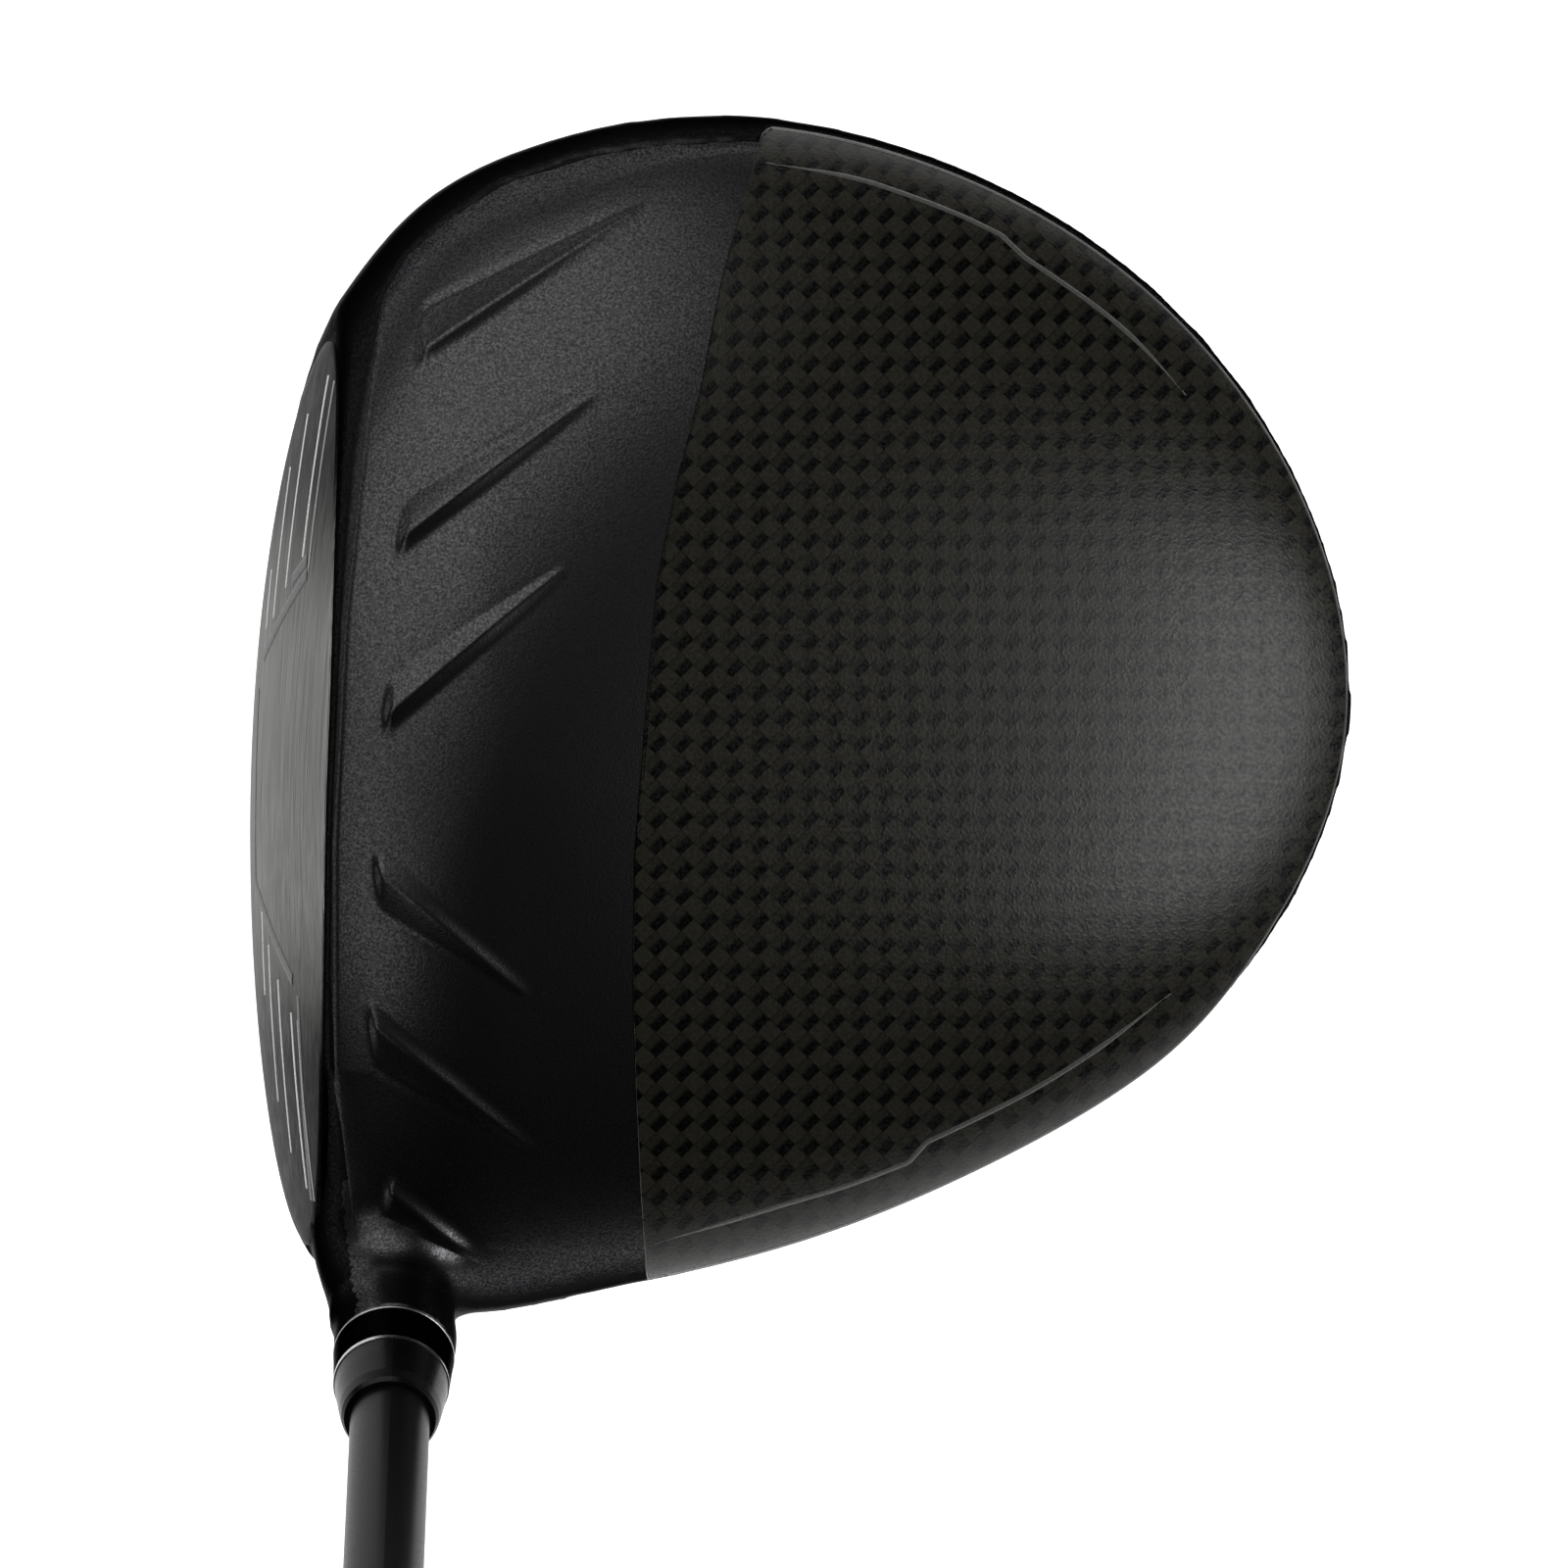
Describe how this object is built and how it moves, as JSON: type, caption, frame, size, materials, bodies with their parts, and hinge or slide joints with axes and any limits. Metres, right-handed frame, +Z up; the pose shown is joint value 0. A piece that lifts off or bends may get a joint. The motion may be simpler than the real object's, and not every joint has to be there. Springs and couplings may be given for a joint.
{
  "type": "golf driver",
  "caption": "Right-handed golf driver: hollow metal head with a carbon crown, ridged front crown, adjustable hosel sleeve, graphite shaft and rubber grip.",
  "frame": {"origin": "centre of the flat pad of the sole, on the ground, with the club at address", "axes": "+Z up, -X towards the target, +Y towards the toe, so the shaft leans towards -Y"},
  "size_m": [0.1195, 0.7304, 0.9912],
  "materials": {
    "cast_titanium": "fine bead-blasted black PVD on cast titanium, satin",
    "brushed_titanium": "forged titanium face, brushed heel to toe, dark",
    "carbon_weave": "carbon twill under a satin clear coat, black",
    "bond_film": "cured black epoxy",
    "anodised_black": "black anodised aluminium, satin",
    "bright_aluminium": "turned aluminium, bright",
    "seal_rubber": "black nitrile rubber",
    "steel_insert": "stainless steel, machined",
    "black_steel": "black oxide steel, oiled",
    "tungsten": "sintered tungsten alloy, dark satin",
    "ferrule_black": "polished black plastic",
    "shaft_coat": "satin black lacquer on graphite composite",
    "plug_foam": "light plastic plug",
    "tape": "double-sided paper tape",
    "grip_rubber": "moulded rubber, matte, patterned"
  },
  "bodies": {
    "shaft_assembly": {"shaft": "shaft_coat", "hosel_sleeve": "anodised_black", "sleeve_seal_ring": "seal_rubber", "sleeve_thread_insert": "steel_insert", "trim_ring": "bright_aluminium", "ferrule": "ferrule_black", "tip_plug": "plug_foam", "grip_tape": "tape", "grip": "grip_rubber", "grip_cap": "grip_rubber"},
    "screw_seat": {"captive_washer": "steel_insert"},
    "hosel_screw": {"hosel_screw": "black_steel"},
    "head": {"head_body": "cast_titanium", "face_insert": "brushed_titanium", "crown_wrap": "carbon_weave", "crown_bond": "bond_film", "weight_thread_insert": "steel_insert", "retaining_clip": "black_steel"},
    "rear_weight": {"rear_weight": "tungsten"},
    "weight_screw": {"weight_screw": "black_steel"}
  },
  "joints": [
    {"name": "head_release", "type": "slide", "parent": "shaft_assembly", "child": "screw_seat", "axis": [0, 0.5299, -0.848], "range_m": [0, 0.045]},
    {"name": "loft_turn", "type": "hinge", "parent": "screw_seat", "child": "head", "pos_m": [-0.016, -0.068, 0.05], "axis": [0, -0.5299, 0.848], "range_deg": [-180, 180]},
    {"name": "hosel_screw_turn", "type": "hinge", "parent": "screw_seat", "child": "hosel_screw", "pos_m": [-0.016, -0.0468, 0.01608], "axis": [0, -0.5299, 0.848], "continuous": true},
    {"name": "weight_release", "type": "slide", "parent": "head", "child": "rear_weight", "axis": [0.515, 0, -0.8572], "range_m": [0, 0.015]},
    {"name": "weight_screw_turn", "type": "hinge", "parent": "rear_weight", "child": "weight_screw", "pos_m": [0.05749, 0.006, 0.01605], "axis": [0.515, 0, -0.8572], "continuous": true}
  ]
}
